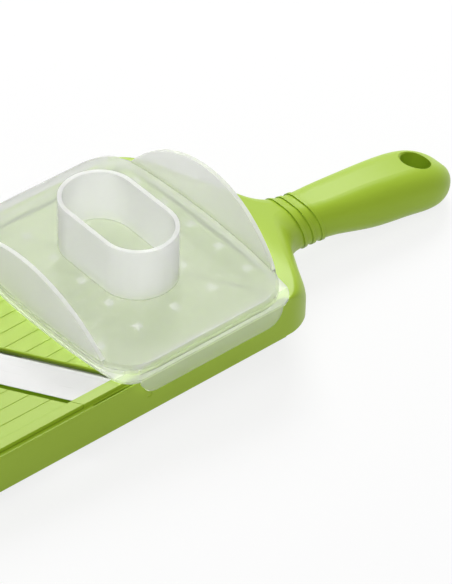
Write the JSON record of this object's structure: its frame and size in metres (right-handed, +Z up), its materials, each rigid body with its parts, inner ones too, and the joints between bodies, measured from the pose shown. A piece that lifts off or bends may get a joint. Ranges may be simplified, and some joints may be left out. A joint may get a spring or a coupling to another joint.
{
  "type": "mandoline slicer",
  "caption": "Hand-held slicer board with a skewed ceramic blade, a hinged thickness plate, a cam adjuster, a drooping handle and a translucent food holder that slides on the rails.",
  "frame": {"origin": "on the floor, under the middle of the slicer's bounding box", "axes": "+X from the front end of the board to the handle, +Y across the board to its far side, +Z up"},
  "size_m": [0.282, 0.096, 0.0527],
  "materials": {
    "green_plastic": "satin moulded apple green",
    "clear_plastic": "frosted translucent moulding",
    "white_plastic": "matt moulded white",
    "ceramic": "ground white zirconia",
    "steel": "drawn stainless steel",
    "rubber": "soft grey rubber"
  },
  "bodies": {
    "board": {"board_frame": "green_plastic", "handle_cover": "green_plastic", "handle_screws": "steel", "landing_plate": "green_plastic", "landing_plate_screws": "steel", "slicing_blade": "ceramic", "hinge_rod": "steel", "detent_spring": "steel", "front_feet": "rubber"},
    "plate": {"thickness_plate": "green_plastic"},
    "adjuster": {"adjuster_bar": "white_plastic", "adjuster_rod": "green_plastic"},
    "holder": {"hand_guard": "clear_plastic"}
  },
  "joints": [
    {"name": "adjuster_turn", "type": "hinge", "parent": "board", "child": "adjuster", "pos_m": [-0.05775, 0, 0.01417], "axis": [0.5313, -0.8462, 0.0414], "range_deg": [-90, 180], "deforming": ["detent_spring"]},
    {"name": "plate_tilt", "type": "hinge", "parent": "board", "child": "plate", "pos_m": [-0.00114, 0, 0.02174], "axis": [0.5313, -0.8462, 0.0414], "range_deg": [-0.96, 1.92]},
    {"name": "holder_slide", "type": "slide", "parent": "board", "child": "holder", "axis": [-0.997, 0, -0.0777], "range_m": [-0.004, 0.095]}
  ],
  "couplings": [
    {"joint": "adjuster_turn", "follows": "plate_tilt", "ratio": 93.803}
  ]
}
